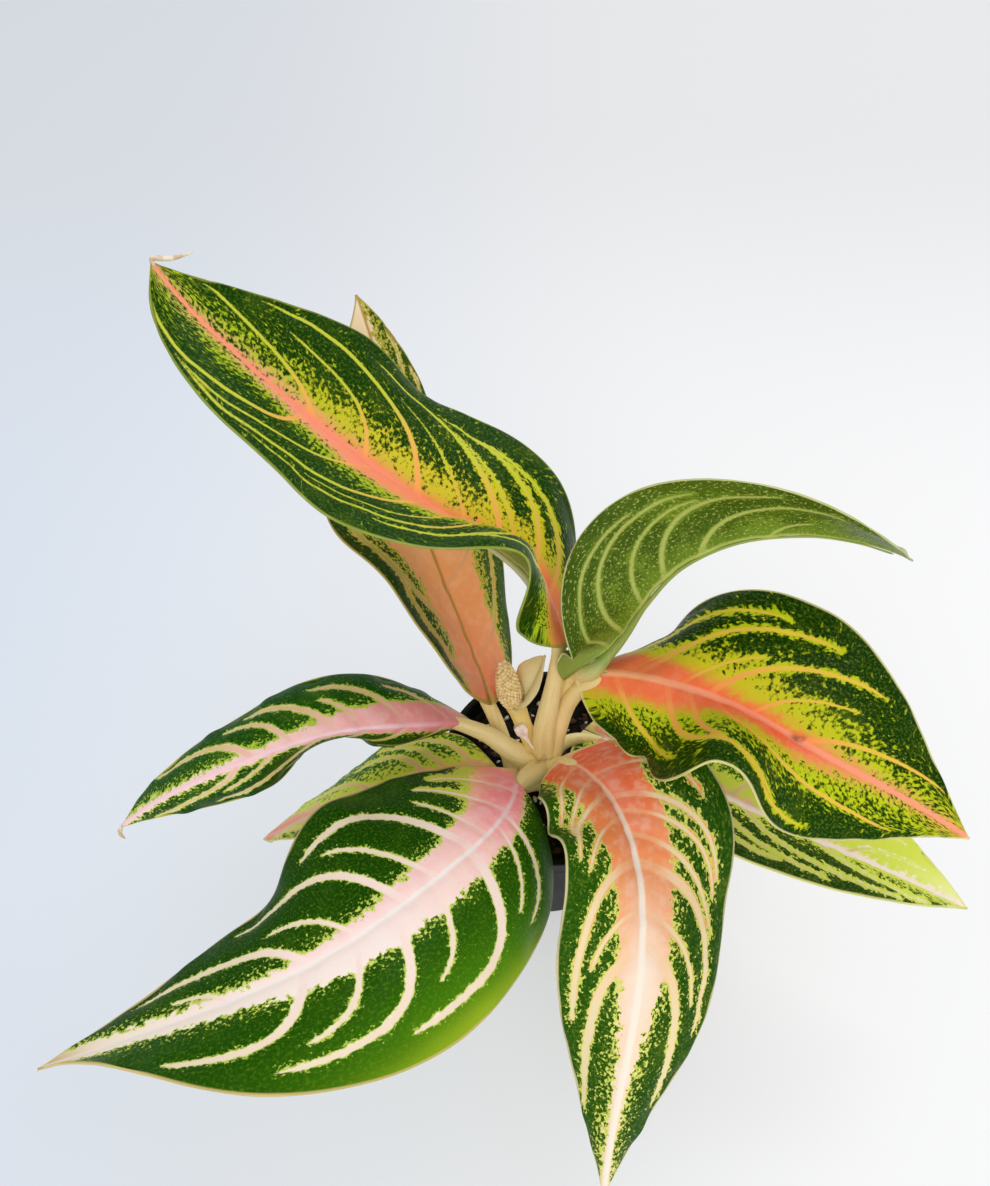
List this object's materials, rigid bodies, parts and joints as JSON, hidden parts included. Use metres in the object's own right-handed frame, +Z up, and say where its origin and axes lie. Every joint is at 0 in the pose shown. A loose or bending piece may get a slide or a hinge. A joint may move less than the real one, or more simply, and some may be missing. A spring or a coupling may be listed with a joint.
{
  "type": "potted chinese evergreen",
  "caption": "Leafy houseplant with broad painted leaves on a short cane, a small hooded flower, and a round tapered nursery pot filled with potting mix.",
  "frame": {"origin": "centre of the pot's flat underside, on the surface it stands on", "axes": "+Z up along the pot's axis; -Y towards the front, the side of the two big front leaves; +X to the plant's right as seen from the front"},
  "size_m": [0.383, 0.3206, 0.3067],
  "materials": {
    "pot": "black moulded plastic, slightly satin",
    "potting_mix": "dark crumbly peat and bark with white perlite",
    "cane": "pale tan cane with leaf scars, waxy",
    "petiole": "cream stalk with green and pink flecks, satin",
    "leaf": "waxy leaf in pink, coral, cream and green, satin",
    "spadix": "cream to tan, finely knobbed",
    "spathe": "pale green to cream, satin"
  },
  "bodies": {
    "root": {"pot": "pot", "potting_mix": "potting_mix", "stem": "cane", "petiole_upper_left": "petiole", "petiole_rear": "petiole", "petiole_upper_right": "petiole", "petiole_right": "petiole", "petiole_lower_right": "petiole", "petiole_front": "petiole", "petiole_front_left": "petiole", "petiole_left": "petiole", "petiole_lower_left": "petiole", "blade_upper_left": "leaf", "blade_rear": "leaf", "blade_upper_right": "leaf", "blade_right": "leaf", "blade_lower_right": "leaf", "blade_front": "leaf", "blade_front_left": "leaf", "blade_left": "leaf", "blade_lower_left": "leaf", "peduncle": "petiole", "spathe": "spathe", "spadix": "spadix", "bract": "spathe"}
  },
  "joints": []
}
